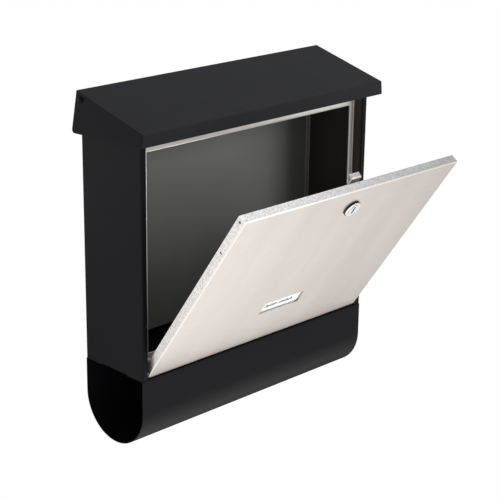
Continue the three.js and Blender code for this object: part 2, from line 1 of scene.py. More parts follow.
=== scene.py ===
# %% [markdown]
# # A wall letterbox of folded sheet steel
# The box is folded from anthracite powder-coated sheet. It has a sloping lid to post letters under, a stainless
# door that drops forward to take them out, a cam lock, a name plate and an open tray for newspapers below.
# The measured model comes first. It fixes every size and every hinge, and this lesson gives it its surfaces.

# %% Load the measured model
import json
import math

import bmesh
import bpy
from mathutils import Matrix, Vector


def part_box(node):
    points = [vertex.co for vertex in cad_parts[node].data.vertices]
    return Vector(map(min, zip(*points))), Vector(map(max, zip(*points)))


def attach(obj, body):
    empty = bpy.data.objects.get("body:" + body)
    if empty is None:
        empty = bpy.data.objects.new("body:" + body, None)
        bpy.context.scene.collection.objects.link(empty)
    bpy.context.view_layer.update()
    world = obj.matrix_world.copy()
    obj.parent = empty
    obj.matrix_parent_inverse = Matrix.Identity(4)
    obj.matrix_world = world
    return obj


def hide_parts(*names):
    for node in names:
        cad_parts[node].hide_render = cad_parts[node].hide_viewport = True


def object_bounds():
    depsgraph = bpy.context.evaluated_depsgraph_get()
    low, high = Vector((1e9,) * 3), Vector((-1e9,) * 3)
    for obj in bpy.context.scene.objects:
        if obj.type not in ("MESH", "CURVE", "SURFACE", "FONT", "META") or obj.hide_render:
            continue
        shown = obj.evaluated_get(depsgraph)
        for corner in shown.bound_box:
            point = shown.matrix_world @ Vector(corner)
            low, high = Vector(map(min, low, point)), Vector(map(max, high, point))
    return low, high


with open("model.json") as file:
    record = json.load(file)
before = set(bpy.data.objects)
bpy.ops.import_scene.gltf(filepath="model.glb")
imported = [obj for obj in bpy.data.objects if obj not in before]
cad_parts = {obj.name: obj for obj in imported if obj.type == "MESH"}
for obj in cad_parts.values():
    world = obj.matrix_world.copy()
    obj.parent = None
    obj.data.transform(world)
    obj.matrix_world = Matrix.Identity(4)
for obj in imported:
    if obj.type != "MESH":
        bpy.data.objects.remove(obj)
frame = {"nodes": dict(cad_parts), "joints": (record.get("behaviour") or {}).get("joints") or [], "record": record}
nodes = frame["nodes"]
joints = {joint["name"]: joint for joint in frame["joints"]}
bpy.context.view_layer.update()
MM = 0.001

# %% [markdown]
# ## Camera
# A product picture is taken from a few metres away with a long lens, so that upright edges stay nearly parallel.
# The camera stands to the left of the box and looks down on it. A turn and a height angle about a target are
# easier to read than a rotation matrix, so the matrix is worked out from them.

# %% Place the camera
scene = bpy.context.scene
AZIMUTH, ELEVATION, ROLL = (math.radians(a) for a in (-44.9, 18.99, 0.8))
DISTANCE = 1.8648
LENS = 107.95
TARGET = Vector((0.0612, -0.0222, -0.0712))

level = math.cos(ELEVATION)
back = Vector((math.sin(AZIMUTH) * level, -math.cos(AZIMUTH) * level, math.sin(ELEVATION)))
right = Vector((math.cos(AZIMUTH), math.sin(AZIMUTH), 0))
up = back.cross(right)
rolled_right = right * math.cos(ROLL) + up * math.sin(ROLL)
rolled_up = up * math.cos(ROLL) - right * math.sin(ROLL)

camera_data = bpy.data.cameras.new("camera")
camera_data.lens = LENS
camera = bpy.data.objects.new("camera", camera_data)
turn = Matrix((rolled_right, rolled_up, back)).transposed().to_4x4()
camera.matrix_world = Matrix.Translation(TARGET + back * DISTANCE) @ turn
scene.collection.objects.link(camera)
scene.camera = camera
print("camera at", [round(v, 3) for v in camera.matrix_world.translation])

# %% [markdown]
# ## Colour and nodes
# Paint charts and pickers give colours as sRGB hex values, while a render adds up light, which needs linear
# values. One function turns the first into the second. Another adds a node with its settings, values and links,
# and a third plugs the finished patterns into a shader.

# %% Helpers for materials
def linear(hex_colour):
    channels = [int(hex_colour[i : i + 2], 16) / 255 for i in (1, 3, 5)]
    return [c / 12.92 if c <= 0.04045 else ((c + 0.055) / 1.055) ** 2.4 for c in channels] + [1.0]


def add(tree, kind, inputs=None, **settings):
    """Adds a node. An input's value is a number, a colour, or (node, output name) for a link."""
    node = tree.nodes.new(kind)
    for name, value in settings.items():
        setattr(node, name, value)
    for name, value in (inputs or {}).items():
        if isinstance(value, tuple) and isinstance(value[0], bpy.types.Node):
            tree.links.new(value[0].outputs[value[1]], node.inputs[name])
        else:
            node.inputs[name].default_value = value
    return node


def feed(tree, shader, sources):
    """Links each named socket of a shader to a (node, output name)."""
    for socket, (node, output) in sources.items():
        tree.links.new(node.outputs[output], shader.inputs[socket])


def new_material(name, base, roughness, metallic=0.0, **more):
    material = bpy.data.materials.new(name)
    material.use_nodes = True
    material.diffuse_color = linear(base)
    shader = material.node_tree.nodes["Principled BSDF"]
    shader.inputs["Base Color"].default_value = linear(base)
    shader.inputs["Roughness"].default_value = roughness
    shader.inputs["Metallic"].default_value = metallic
    for socket, value in more.items():
        shader.inputs[socket.replace("_", " ")].default_value = value
    return material, material.node_tree, shader


print("linear mid grey:", [round(c, 4) for c in linear("#808080")[:3]])

# %% [markdown]
# ## Powder coat
# The casing, lid and tray are polyester powder coat on steel. The powder melts and flows in an oven, so the film
# is satin with a faint orange peel. Its pigment is nearly black, and most of what the eye sees is the soft
# reflection in the film. The peel is drawn 3 mm across, coarser than on the real sheet, so that it can show, and
# the pigment varies in clouds about 70 mm wide. Folds and cut edges get a paler, glossier coat of their own, a
# painted highlight along them. The lid's top and front lip get a slightly lighter grey, painted light for the way
# they face the lamps. Inside the box the walls get a lighter warm grey, and the zinc plate at the back has a thin
# grey coat.

# %% Powder coat
PEEL = 3 * MM
PEEL_HEIGHT = 0.05 * MM
PEEL_STRENGTH = 0.12
COAT_CLOUD = 71.43 * MM
COAT_GLOSS_SPREAD = 0.05


def powder_coat(name, dark, light, roughness, specular):
    material, tree, shader = new_material(name, light, roughness, Specular_IOR_Level=specular)
    place = add(tree, "ShaderNodeTexCoord")
    peel = add(tree, "ShaderNodeTexNoise", {"Vector": (place, "Object"), "Scale": 1 / PEEL, "Detail": 2.0})
    cloud = add(tree, "ShaderNodeTexNoise", {"Vector": (place, "Object"), "Scale": 1 / COAT_CLOUD, "Detail": 3.0})
    tone = add(tree, "ShaderNodeValToRGB", {"Fac": (cloud, "Fac")})
    tone.color_ramp.elements[0].color = linear(dark)
    tone.color_ramp.elements[1].color = linear(light)
    gloss = add(tree, "ShaderNodeMapRange", {"Value": (peel, "Fac"), "To Min": roughness - COAT_GLOSS_SPREAD,
                                             "To Max": roughness + COAT_GLOSS_SPREAD})
    bump = add(tree, "ShaderNodeBump", {"Height": (peel, "Fac"), "Strength": PEEL_STRENGTH,
                                        "Distance": PEEL_HEIGHT})
    feed(tree, shader, {"Base Color": (tone, "Color"), "Roughness": (gloss, "Result"), "Normal": (bump, "Normal")})
    return material


paint = powder_coat("powder_coat_anthracite_satin", "#0b0b0e", "#111115", 0.5, 0.1)
# painted light: a lighter copy of the coat for the lid faces that face the lamps
lid_painted_light_coat = powder_coat("powder_coat_lighter_as_painted_light", "#1b1b1e", "#232327", 0.5, 0.15)
# painted highlight: a paler, glossier coat for folds and cut edges, standing in for the light they catch
edge_highlight_paint = powder_coat("powder_coat_painted_edge_highlight", "#38383b", "#48484c", 0.35, 0.5)
# a lighter, warmer copy of the coat for the inward faces of the walls
inside_coat = powder_coat("powder_coat_lighter_warm_inside", "#3a3330", "#443d39", 0.5, 0.4)
grey_coat = powder_coat("thin_grey_coat_on_zinc", "#767872", "#82847e", 0.4, 0.5)
print("powder coat: peel", PEEL / MM, "mm")

# %% [markdown]
# ## Brushed stainless steel
# The door is stainless sheet, brushed across its width with a fine belt. The scratches run along X, so the noise's
# coordinates are squeezed to a hundredth that way, which draws its grains out a hundred times. Real scratches are
# about 0.1 mm apart; here they are drawn 1.2 mm apart, which is as fine as can show. Light spreads across the
# scratches, so a reflection smears up and down the sheet, and broad pale streaks 45 mm wide stand for that.
# Handling leaves soft clouds in the gloss, about 110 mm wide.

# %% Brushed stainless
SCRATCH = 1.2 * MM
SCRATCH_HEIGHT = 0.02 * MM
STREAK = 45 * MM
HANDLING = 111.1 * MM
SCRATCH_SQUEEZE = 0.01
STREAK_SQUEEZE = 0.15
stainless, tree, shader = new_material("brushed_stainless_steel", "#dcd5cf", 0.36, 1.0)
place = add(tree, "ShaderNodeTexCoord")
along = add(tree, "ShaderNodeMapping", {"Vector": (place, "Object"), "Scale": (SCRATCH_SQUEEZE, 1, 1)})
upwards = add(tree, "ShaderNodeMapping", {"Vector": (place, "Object"),
                                          "Scale": (1, STREAK_SQUEEZE, STREAK_SQUEEZE)})
grain = add(tree, "ShaderNodeTexNoise", {"Vector": (along, "Vector"), "Scale": 1 / SCRATCH, "Detail": 3.0})
streak = add(tree, "ShaderNodeTexNoise", {"Vector": (upwards, "Vector"), "Scale": 1 / STREAK, "Detail": 2.0})
cloud = add(tree, "ShaderNodeTexNoise", {"Vector": (place, "Object"), "Scale": 1 / HANDLING, "Detail": 3.0})
tone = add(tree, "ShaderNodeValToRGB", {"Fac": (streak, "Fac")})
tone.color_ramp.elements[0].position = 0.25
tone.color_ramp.elements[1].position = 0.75
tone.color_ramp.elements[0].color = linear("#d8d0ca")
tone.color_ramp.elements[1].color = linear("#e3dcd6")
fine = add(tree, "ShaderNodeValToRGB", {"Fac": (grain, "Fac")})
fine.color_ramp.elements[0].color = linear("#f2f1f0")
fine.color_ramp.elements[1].color = linear("#ffffff")
brushed = add(tree, "ShaderNodeMix", {0: 1.0, 6: (tone, "Color"), 7: (fine, "Color")}, data_type="RGBA",
              blend_type="MULTIPLY")
gloss = add(tree, "ShaderNodeMapRange", {"Value": (cloud, "Fac"), "To Min": 0.32, "To Max": 0.42})
bump = add(tree, "ShaderNodeBump", {"Height": (grain, "Fac"), "Strength": 0.05, "Distance": SCRATCH_HEIGHT})
feed(tree, shader, {"Base Color": (brushed, 2), "Roughness": (gloss, "Result"), "Normal": (bump, "Normal")})
print("stainless: scratches", SCRATCH / MM, "mm apart")

# %% [markdown]
# ## Zinc spangle
# The folded returns of the door and the plated parts of the lock have the mottled bright grey of zinc, which sets
# in small flat crystals. A Voronoi pattern gives each crystal its own shade and gloss. The crystals are 1.2 mm
# across on the returns and 2 mm on the plated parts.

# %% Spangled zinc
GLOSSIEST_CRYSTAL = -0.08
DULLEST_CRYSTAL = 0.1


def zinc(name, dark, light, crystal, roughness):
    material, tree, shader = new_material(name, light, roughness, 1.0)
    place = add(tree, "ShaderNodeTexCoord")
    cells = add(tree, "ShaderNodeTexVoronoi", {"Vector": (place, "Object"), "Scale": 1 / crystal})
    shade = add(tree, "ShaderNodeSeparateColor", {"Color": (cells, "Color")})
    tone = add(tree, "ShaderNodeValToRGB", {"Fac": (shade, "Red")})
    tone.color_ramp.elements[0].color = linear(dark)
    tone.color_ramp.elements[1].color = linear(light)
    gloss = add(tree, "ShaderNodeMapRange", {"Value": (shade, "Green"), "To Min": roughness + GLOSSIEST_CRYSTAL,
                                             "To Max": roughness + DULLEST_CRYSTAL})
    feed(tree, shader, {"Base Color": (tone, "Color"), "Roughness": (gloss, "Result")})
    return material


spangle = zinc("zinc_spangle_on_folded_edges", "#bdbab7", "#e6e4e1", 1.2 * MM, 0.36)
bright_zinc = zinc("bright_zinc_plated_steel", "#dedbd8", "#ebe8e5", 2 * MM, 0.3)
print("zinc materials made")

# %% [markdown]
# ## Small finishes
# The rest are chrome plate on the lock, natural nylon bushes, black rubber pads, a clear window, a paper card with
# ink, its holder of white moulded plastic, the smooth zinc plate of the frame, and a brighter stainless that paints
# the highlight on folds and beads. Each gets a little unevenness from one noise, sized for its own surface.

# %% Small finishes
RELIEF_HEIGHT = 0.05 * MM


def uneven(name, dark, light, roughness, spread, size, metallic=0.0, relief=0.0, **more):
    material, tree, shader = new_material(name, light, roughness, metallic, **more)
    place = add(tree, "ShaderNodeTexCoord")
    noise = add(tree, "ShaderNodeTexNoise", {"Vector": (place, "Object"), "Scale": 1 / size, "Detail": 3.0})
    tone = add(tree, "ShaderNodeValToRGB", {"Fac": (noise, "Fac")})
    tone.color_ramp.elements[0].color = linear(dark)
    tone.color_ramp.elements[1].color = linear(light)
    gloss = add(tree, "ShaderNodeMapRange", {"Value": (noise, "Fac"), "To Min": roughness - spread,
                                             "To Max": roughness + spread})
    bump = add(tree, "ShaderNodeBump", {"Height": (noise, "Fac"), "Strength": relief, "Distance": RELIEF_HEIGHT})
    feed(tree, shader, {"Base Color": (tone, "Color"), "Roughness": (gloss, "Result"), "Normal": (bump, "Normal")})
    return material


chrome = uneven("polished_chrome_plate", "#dedee0", "#f0f0f2", 0.12, 0.04, 3 * MM, 1.0)
nylon = uneven("natural_nylon", "#e2e0d8", "#f2f1ea", 0.5, 0.05, 2 * MM, relief=0.1)
rubber = uneven("black_rubber", "#0b0b0b", "#141414", 0.75, 0.08, 1 * MM, relief=0.3)
holder_white = uneven("white_moulded_abs", "#e6e5e1", "#f2f1ee", 0.5, 0.06, 1 * MM, relief=0.2)
# painted shade: black for the inside of the keyway
keyway_painted_shade = uneven("painted_shade_in_keyway", "#050505", "#0a0a0a", 0.6, 0.05, 1 * MM)
# painted highlight: a brighter stainless for folds, door edges and the frame's beads
painted_highlight_steel = uneven("stainless_painted_highlight", "#f0ece8", "#fbf8f5", 0.3, 0.04, 2 * MM, 1.0)
frame_zinc = uneven("smooth_bright_zinc_plate", "#dcd8d3", "#ebe7e2", 0.4, 0.05, 12 * MM, 1.0)
card = uneven("white_paper_card", "#f4f3f0", "#fefefc", 0.85, 0.05, 1 * MM, relief=0.2)
ink = uneven("dark_blue_black_ink", "#15151a", "#24242b", 0.6, 0.05, 1 * MM)
window, _, _ = new_material("clear_acrylic_window", "#fbfdfd", 0.04, IOR=1.49, Alpha=0.1)
print("small finishes made")

# %% [markdown]
# ## Sheet-metal pieces
# A folded sheet could be modelled face by face and thickened, but the measured model already holds every fold and
# hole at its true size. So each sheet piece starts as a copy of its measured shape. The copy's triangles are
# merged into whole faces, long folds get a larger radius, and every cut edge is softened by 0.25 to 0.4 mm,
# because it is that thin bright line that tells the eye a sheet has thickness.

# %% Copy a measured piece and soften its edges
CUT_EDGE = 0.25 * MM
PAINTED_EDGE = 0.4 * MM
WELD = 0.002 * MM
SHARP = math.radians(40)
SHADED_ROUND = math.radians(50)
EDGE_SEGMENTS = 2


def link(name, mesh, material):
    made = bpy.data.objects.new(name, mesh)
    scene.collection.objects.link(made)
    mesh.materials.clear()
    mesh.materials.append(material)
    return made


def smooth(piece):
    """Rounds the shading of bends and edges, and lets the large faces set it so that they stay flat."""
    piece.data.polygons.foreach_set("use_smooth", [True] * len(piece.data.polygons))
    piece.data.set_sharp_from_angle(angle=SHADED_ROUND)
    weighted = piece.modifiers.new("flat faces", "WEIGHTED_NORMAL")
    weighted.weight = 100
    weighted.keep_sharp = True
    apply_modifiers(piece)


def whole_faces(node):
    """The node's mesh as a bmesh with its triangles merged into flat faces."""
    shape = bmesh.new()
    shape.from_mesh(nodes[node].data)
    bmesh.ops.remove_doubles(shape, verts=shape.verts, dist=WELD)
    bmesh.ops.dissolve_degenerate(shape, edges=shape.edges, dist=WELD)
    bmesh.ops.dissolve_limit(shape, angle_limit=math.radians(1), verts=shape.verts, edges=shape.edges)
    return shape


def soften(piece, width, edge_finish=None):
    """Rounds every sharp edge a little. The rounded strips can take a paler finish of their own, which paints a
    highlight along the edge.
    """
    bevel = piece.modifiers.new("soft edge", "BEVEL")
    if edge_finish:
        piece.data.materials.append(edge_finish)
        bevel.material = len(piece.data.materials) - 1
    bevel.width = width
    bevel.segments = EDGE_SEGMENTS
    bevel.limit_method = "ANGLE"
    bevel.angle_limit = SHARP
    bevel.use_clamp_overlap = True
    apply_modifiers(piece)


def apply_modifiers(piece):
    depsgraph = bpy.context.evaluated_depsgraph_get()
    mesh = bpy.data.meshes.new_from_object(piece.evaluated_get(depsgraph))
    piece.modifiers.clear()
    piece.data = mesh


def settle(piece, body, slot, *replaced):
    """The last step for every piece: smooth it, fix it to its body and hide the measured parts it replaces."""
    smooth(piece)
    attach(piece, body)
    if replaced:
        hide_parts(*replaced)
    print(f"{piece.name}: {len(piece.data.polygons)} faces, on {body}")


def sheet_piece(node, name, material, body, slot, edge=CUT_EDGE, edge_finish=None):
    shape = whole_faces(node)
    mesh = bpy.data.meshes.new(name)
    shape.to_mesh(mesh)
    shape.free()
    piece = link(name, mesh, material)
    soften(piece, edge, edge_finish=edge_finish)
    settle(piece, body, slot, node)
    return piece


# %% [markdown]
# ## Casing, tray and frame
# The casing and the tray are painted sheet whose edges take the paler coat as a painted highlight, and the frame is
# zinc plate. The casing's side walls face the room on one side and the mail on the other, so the faces that look
# inwards take the lighter warm inside coat.

# %% Casing, tray and frame
INSIDE = 2
# painted highlight: the casing's softened edges take the paler coat
casing = sheet_piece("casing_wrap", "casing_sheet", paint, "casing", "paint", PAINTED_EDGE, edge_highlight_paint)
casing.data.materials.append(inside_coat)
# the inward faces of the side walls take the lighter warm coat
for face in casing.data.polygons:
    if abs(face.normal.x) > 0.9 and face.center.x * face.normal.x < 0:
        face.material_index = INSIDE
sheet_piece("floor_panel", "compartment_floor", paint, "casing", "paint")
sheet_piece("top_panel", "slot_rear_panel", paint, "casing", "paint")
sheet_piece("newspaper_tray", "newspaper_tray_sheet", paint, "casing", "paint", PAINTED_EDGE, edge_highlight_paint)
sheet_piece("front_frame", "door_surround", frame_zinc, "casing", "galvanised")

# %% [markdown]
# ## Beads on the frame
# A bead is rolled along both edges of the frame's front face to stiffen it. The two beads show as two bright lines
# with a greyer band between them, and their brightness is a painted highlight: they take the brighter stainless
# finish. Each bead is a thin round bar that runs round the opening, swept along a closed rectangle and sunk halfway
# into the face.

# %% Beads
BEAD_RADIUS = 0.7 * MM
BEAD_SPACING = 7 * MM
NEAR = 0.1 * MM


def opening_of(node):
    """Left, right, low and high edges of the hole in a frame, at its front face."""
    face_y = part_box(node)[0].y
    corners = [corner.co for corner in nodes[node].data.vertices if corner.co.y < face_y + NEAR]
    half = min(abs(co.x) for co in corners)
    rims = sorted(co.z for co in corners if abs(abs(co.x) - half) < NEAR)
    return face_y, half, rims[0], rims[-1]


def add_path(curve, points, closed=False):
    path = curve.splines.new("POLY")
    path.points.add(len(points) - 1)
    for knot, point in zip(path.points, points):
        knot.co = (*point, 1)
    path.use_cyclic_u = closed


def curve_mesh(curve):
    """The mesh of a swept curve."""
    bar = bpy.data.objects.new(curve.name, curve)
    scene.collection.objects.link(bar)
    mesh = bpy.data.meshes.new_from_object(bar)
    bpy.data.objects.remove(bar)
    return mesh


face_y, half, sill, head = opening_of("front_frame")
curve = bpy.data.curves.new("frame_beads", "CURVE")
curve.dimensions = "3D"
curve.bevel_depth = BEAD_RADIUS
curve.bevel_resolution = 3
for out in (BEAD_RADIUS, BEAD_RADIUS + BEAD_SPACING):
    add_path(curve, [(-half - out, face_y, sill - out), (half + out, face_y, sill - out),
                     (half + out, face_y, head + out), (-half - out, face_y, head + out)], closed=True)
# the beads take the brighter stainless as a painted highlight
beads = link("frame_beads", curve_mesh(curve), painted_highlight_steel)
settle(beads, "casing", "galvanised")
print("opening in mm:", [round(v / MM, 1) for v in (2 * half, sill, head)])

# %% [markdown]
# ## Back plate
# A thinner grey-coated plate lines the back of the box. Its measured shape is flat. The real plate is turned
# forward at both sides, so that it can be spot-welded to the side walls, and the cut edge of that turn is the thin
# pale line up each back corner. Its softened edges take bright zinc, partly the bare metal of the cut and partly a
# painted highlight. So the plate is drawn again here as a channel: an outline in plan, raised to the
# plate's height, with the measured plate's size.

# %% Back plate
PLATE_TURN = 5 * MM
PLATE_EDGE = 0.3 * MM


def channel(name, low, high, turn):
    """A flat plate whose two side edges are turned towards the front."""
    wall = high.y - low.y
    front = low.y - turn
    plan = [(low.x, high.y), (low.x, front), (low.x + wall, front), (low.x + wall, low.y),
            (high.x - wall, low.y), (high.x - wall, front), (high.x, front), (high.x, high.y)]
    shape = bmesh.new()
    foot = shape.faces.new([shape.verts.new((x, y, low.z)) for x, y in plan])
    raised = bmesh.ops.extrude_face_region(shape, geom=[foot])
    tops = [item for item in raised["geom"] if isinstance(item, bmesh.types.BMVert)]
    bmesh.ops.translate(shape, verts=tops, vec=(0, 0, high.z - low.z))
    bmesh.ops.recalc_face_normals(shape, faces=shape.faces)
    mesh = bpy.data.meshes.new(name)
    shape.to_mesh(mesh)
    shape.free()
    return mesh


back_plate = link("back_plate_sheet", channel("back_plate_sheet", *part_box("back_plate"), PLATE_TURN), grey_coat)
# the bright zinc on the softened edges is partly bare cut metal and partly a painted highlight
soften(back_plate, PLATE_EDGE, edge_finish=frame_zinc)
settle(back_plate, "casing", "grey_coat", "back_plate")
print("turned edges:", PLATE_TURN / MM, "mm")

# %% [markdown]
# ## Lid
# The lid is one sheet with four folds: a front lip and two side flaps that meet it at the corners, where the seam
# is welded and ground round. Those folds are 1.3 mm in radius, softer than a cut edge, and they take the paler edge
# coat, which paints a long pale highlight along each. They are found as the outer edges between large faces, and
# are rounded before the rest is softened. The top and the front lip face the lamps, so they get the lighter coat as
# painted light, while the side flaps keep the coat of the casing.

# %% Lid
FOLD_RADIUS = 1.3 * MM
FOLD_SEGMENTS = 4
FOLD = 1
LIT_LID_FACES = 2
LARGE_FACE = 1000 * MM**2

shape = whole_faces("lid_cover")
folds = [edge for edge in shape.edges if len(edge.link_faces) == 2 and edge.is_convex
         and min(face.calc_area() for face in edge.link_faces) > LARGE_FACE
         and edge.calc_face_angle() > SHARP]
rounded = bmesh.ops.bevel(shape, geom=folds, offset=FOLD_RADIUS, segments=FOLD_SEGMENTS, profile=0.5,
                          affect="EDGES", clamp_overlap=True)
# painted highlight: the rounded folds take the paler coat
for face in rounded["faces"]:
    face.material_index = FOLD
mesh = bpy.data.meshes.new("lid_sheet")
shape.to_mesh(mesh)
shape.free()
lid = link("lid_sheet", mesh, paint)
soften(lid, PAINTED_EDGE, edge_finish=edge_highlight_paint)
settle(lid, "lid", "paint", "lid_cover")
# painted light: the lid's top and front lip get the lighter coat
lid.data.materials.append(lid_painted_light_coat)
for face in lid.data.polygons:
    if face.material_index == 0 and abs(face.normal.x) < 0.5:
        face.material_index = LIT_LID_FACES
print("folds rounded:", len(folds))

# %% [markdown]
# ## Door
# The door is a shallow tray of brushed stainless. Its face carries the brushing, while the folded returns show a
# duller spangle, so the faces are sorted by which way they point: along the front, across it, or between the two.
# Those between are the folds. The long ones at top and bottom take a brighter stainless that paints their
# highlight, and the side ones are brushed like the face. The door's softened edges take it too. The door hangs open
# on its hinge, so its own front direction is turned by the hinge's angle.

# %% Door
DOOR_EDGE = 0.38 * MM
HIGHLIGHTED_FOLD = 1
RETURN = 2
SMALLEST_RETURN = 1 * MM**2

open_angle = -math.radians(joints["door_hinge"]["range_deg"][0])
door_turn = Matrix.Rotation(open_angle, 3, "X")
door_front = door_turn @ Vector((0, -1, 0))

# painted highlight: the door's softened edges and its top and bottom folds take the brighter stainless
door = sheet_piece("door_skin", "door_sheet", stainless, "door", "stainless", DOOR_EDGE, painted_highlight_steel)
door.data.materials.append(spangle)
for face in door.data.polygons:
    facing = abs(face.normal.dot(door_front))
    if facing < 0.1 and face.area > SMALLEST_RETURN:
        face.material_index = RETURN
    elif facing < 0.97:
        face.material_index = HIGHLIGHTED_FOLD if abs(face.normal.x) < 0.5 else 0
print("door opens", round(math.degrees(open_angle), 1), "degrees")
sheet_piece("card_holder", "card_holder_frame", holder_white, "door", "white_plastic")

# %% [markdown]
# ## Turned pieces and small parts
# Pins, bushes, pads and screws are turned or moulded. Their measured shapes are already round enough, so each
# keeps its shape and gets a fine chamfer and its own finish.

# %% Small parts
SMALL = {
    "paint": (paint, ["lid_pivot_pin_left", "lid_pivot_pin_right"]),
    "galvanised": (bright_zinc, ["door_hinge_pin_left", "door_hinge_pin_right", "lock_nut", "lock_cam",
                                 "cam_washer", "cam_screw"]),
    "nylon": (nylon, ["lid_spacer_left", "lid_spacer_right", "door_hinge_bush_left", "door_hinge_bush_right"]),
    "rubber": (rubber, ["lid_bumper_left", "lid_bumper_right", "door_buffer_left", "door_buffer_right",
                        "lock_seal"]),
    "chrome": (chrome, ["lock_housing", "lock_plug"]),
    "clear": (window, ["name_window"]),
    "paper": (card, ["name_card"]),
}
CHAMFER = 0.12 * MM
bodies = frame["record"]["behaviour"]["bodies"]
body_of = {node: body for body, members in bodies.items() for node in members}
for slot, (material, names) in SMALL.items():
    for node in names:
        sheet_piece(node, node + "_finished", material, body_of[node], slot, edge=CHAMFER)

# %% [markdown]
# ## Keyway
# The keyway is a deep narrow slot that light hardly reaches, so its faces are painted black as painted shade,
# whatever the plug is plated with. Its faces are those near the lock's axis that lie behind the plug's front.

# %% Keyway
KEYWAY_REACH = 6 * MM
KEYWAY_SET_BACK = 0.2 * MM
KEYWAY = 1

plug = bpy.data.objects["lock_plug_finished"]
plug.data.materials.append(keyway_painted_shade)
lock_axis = Vector(joints["lock_turn"]["axis"]).normalized()
lock_place = Vector(joints["lock_turn"]["pos_m"])
front = min((corner.co - lock_place).dot(lock_axis) for corner in plug.data.vertices)
dark_faces = 0
# the keyway faces get the painted shade
for face in plug.data.polygons:
    offset = face.center - lock_place
    depth = offset.dot(lock_axis)
    if (offset - depth * lock_axis).length < KEYWAY_REACH and depth > front + KEYWAY_SET_BACK:
        face.material_index = KEYWAY
        dark_faces += 1
print("keyway faces:", dark_faces)

# %% [markdown]
# ## Rivets
# Six rivets hold the tray to the floor. They are all alike, so Geometry Nodes set one rivet at every place. The
# places are points, and the rivet is a short shank with a flattened ball for a head. Each point stands where the
# shank starts, a little above the measured rivet's lowest point, so that the head bulges below it.

# %% Rivet tree
def rivet_tree():
    tree = bpy.data.node_groups.new("rivet_row", "GeometryNodeTree")
    tree.interface.new_socket("Places", in_out="INPUT", socket_type="NodeSocketGeometry")
    for name, size in (("Head Radius", 4 * MM), ("Head Height", 1.4 * MM), ("Shank Radius", 2 * MM),
                       ("Shank Length", 3.2 * MM)):
        tree.interface.new_socket(name, in_out="INPUT", socket_type="NodeSocketFloat").default_value = size
    tree.interface.new_socket("Finish", in_out="INPUT", socket_type="NodeSocketMaterial")
    tree.interface.new_socket("Rivets", in_out="OUTPUT", socket_type="NodeSocketGeometry")
    given = tree.nodes.new("NodeGroupInput")
    result = tree.nodes.new("NodeGroupOutput")
    ball = add(tree, "GeometryNodeMeshUVSphere", {"Segments": 24, "Rings": 12, "Radius": (given, "Head Radius")})
    height = add(tree, "ShaderNodeMath", {0: (given, "Head Height"), 1: (given, "Head Radius")}, operation="DIVIDE")
    flat = add(tree, "ShaderNodeCombineXYZ", {"X": 1.0, "Y": 1.0, "Z": (height, "Value")})
    head = add(tree, "GeometryNodeTransform", {"Geometry": (ball, "Mesh"), "Scale": (flat, "Vector")})
    shank = add(tree, "GeometryNodeMeshCylinder", {"Vertices": 24, "Radius": (given, "Shank Radius"),
                                                   "Depth": (given, "Shank Length")})
    half = add(tree, "ShaderNodeMath", {0: (given, "Shank Length"), 1: 0.5}, operation="MULTIPLY")
    lift = add(tree, "ShaderNodeCombineXYZ", {"Z": (half, "Value")})
    raised = add(tree, "GeometryNodeTransform", {"Geometry": (shank, "Mesh"), "Translation": (lift, "Vector")})
    rivet = add(tree, "GeometryNodeJoinGeometry")
    tree.links.new(head.outputs["Geometry"], rivet.inputs["Geometry"])
    tree.links.new(raised.outputs["Geometry"], rivet.inputs["Geometry"])
    rows = add(tree, "GeometryNodeInstanceOnPoints", {"Points": (given, "Places"), "Instance": (rivet, "Geometry")})
    real = add(tree, "GeometryNodeRealizeInstances", {"Geometry": (rows, "Instances")})
    painted = add(tree, "GeometryNodeSetMaterial", {"Geometry": (real, "Geometry"), "Material": (given, "Finish")})
    tree.links.new(painted.outputs["Geometry"], result.inputs["Rivets"])
    return tree


def grow(name, points, tree, settings, material):
    """Runs a tree on a cloud of points and keeps the result as a plain mesh."""
    mesh = bpy.data.meshes.new(name)
    mesh.from_pydata(points, [], [])
    piece = link(name, mesh, material)
    modifier = piece.modifiers.new("grown", "NODES")
    modifier.node_group = tree
    for item in tree.interface.items_tree:
        if item.in_out == "INPUT" and item.name in settings:
            modifier[item.identifier] = settings[item.name]
    apply_modifiers(piece)
    return piece


RIVET_START = 1.3 * MM
rivet_nodes = sorted(node for node in nodes if node.startswith("tray_rivet"))
places = []
for node in rivet_nodes:
    low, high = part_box(node)
    places.append(((low.x + high.x) / 2, (low.y + high.y) / 2, low.z + RIVET_START))
rivets = grow("tray_rivets", places, rivet_tree(), {"Finish": bright_zinc}, bright_zinc)
settle(rivets, "casing", "galvanised", *rivet_nodes)
print(len(places), "rivets")

# %% [markdown]
# ## Name on the card
# The card carries a line of handwriting. It is drawn here as a plain pen scrawl that spells nothing: two runs of a
# slanted looping wave, whose height swings from loop to loop, swept with a round nib and laid on the card.

# %% Pen scrawl
card_low, card_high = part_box("name_card")
card_centre = (card_low + card_high) / 2
CARD_THICK = 0.3 * MM
INK_PROUD = 0.05 * MM
NIB_RADIUS = 0.42 * MM
LOOP_STEPS = 12
LOOP_PITCH = 2.6 * MM
LOOP_HEIGHT = 3.2 * MM
BASE_LINE = -3 * MM
SLANT = 0.35
BACKWARD_SWING = 0.3
HEIGHT_SWING = 0.45
SWING_RATE = 0.37
STROKES = ((-25 * MM, 7), (-3 * MM, 9))


def on_card(across, up_card):
    """A place on the card's front face, from its middle."""
    return card_centre + door_turn @ Vector((across, -CARD_THICK / 2 - INK_PROUD, up_card))


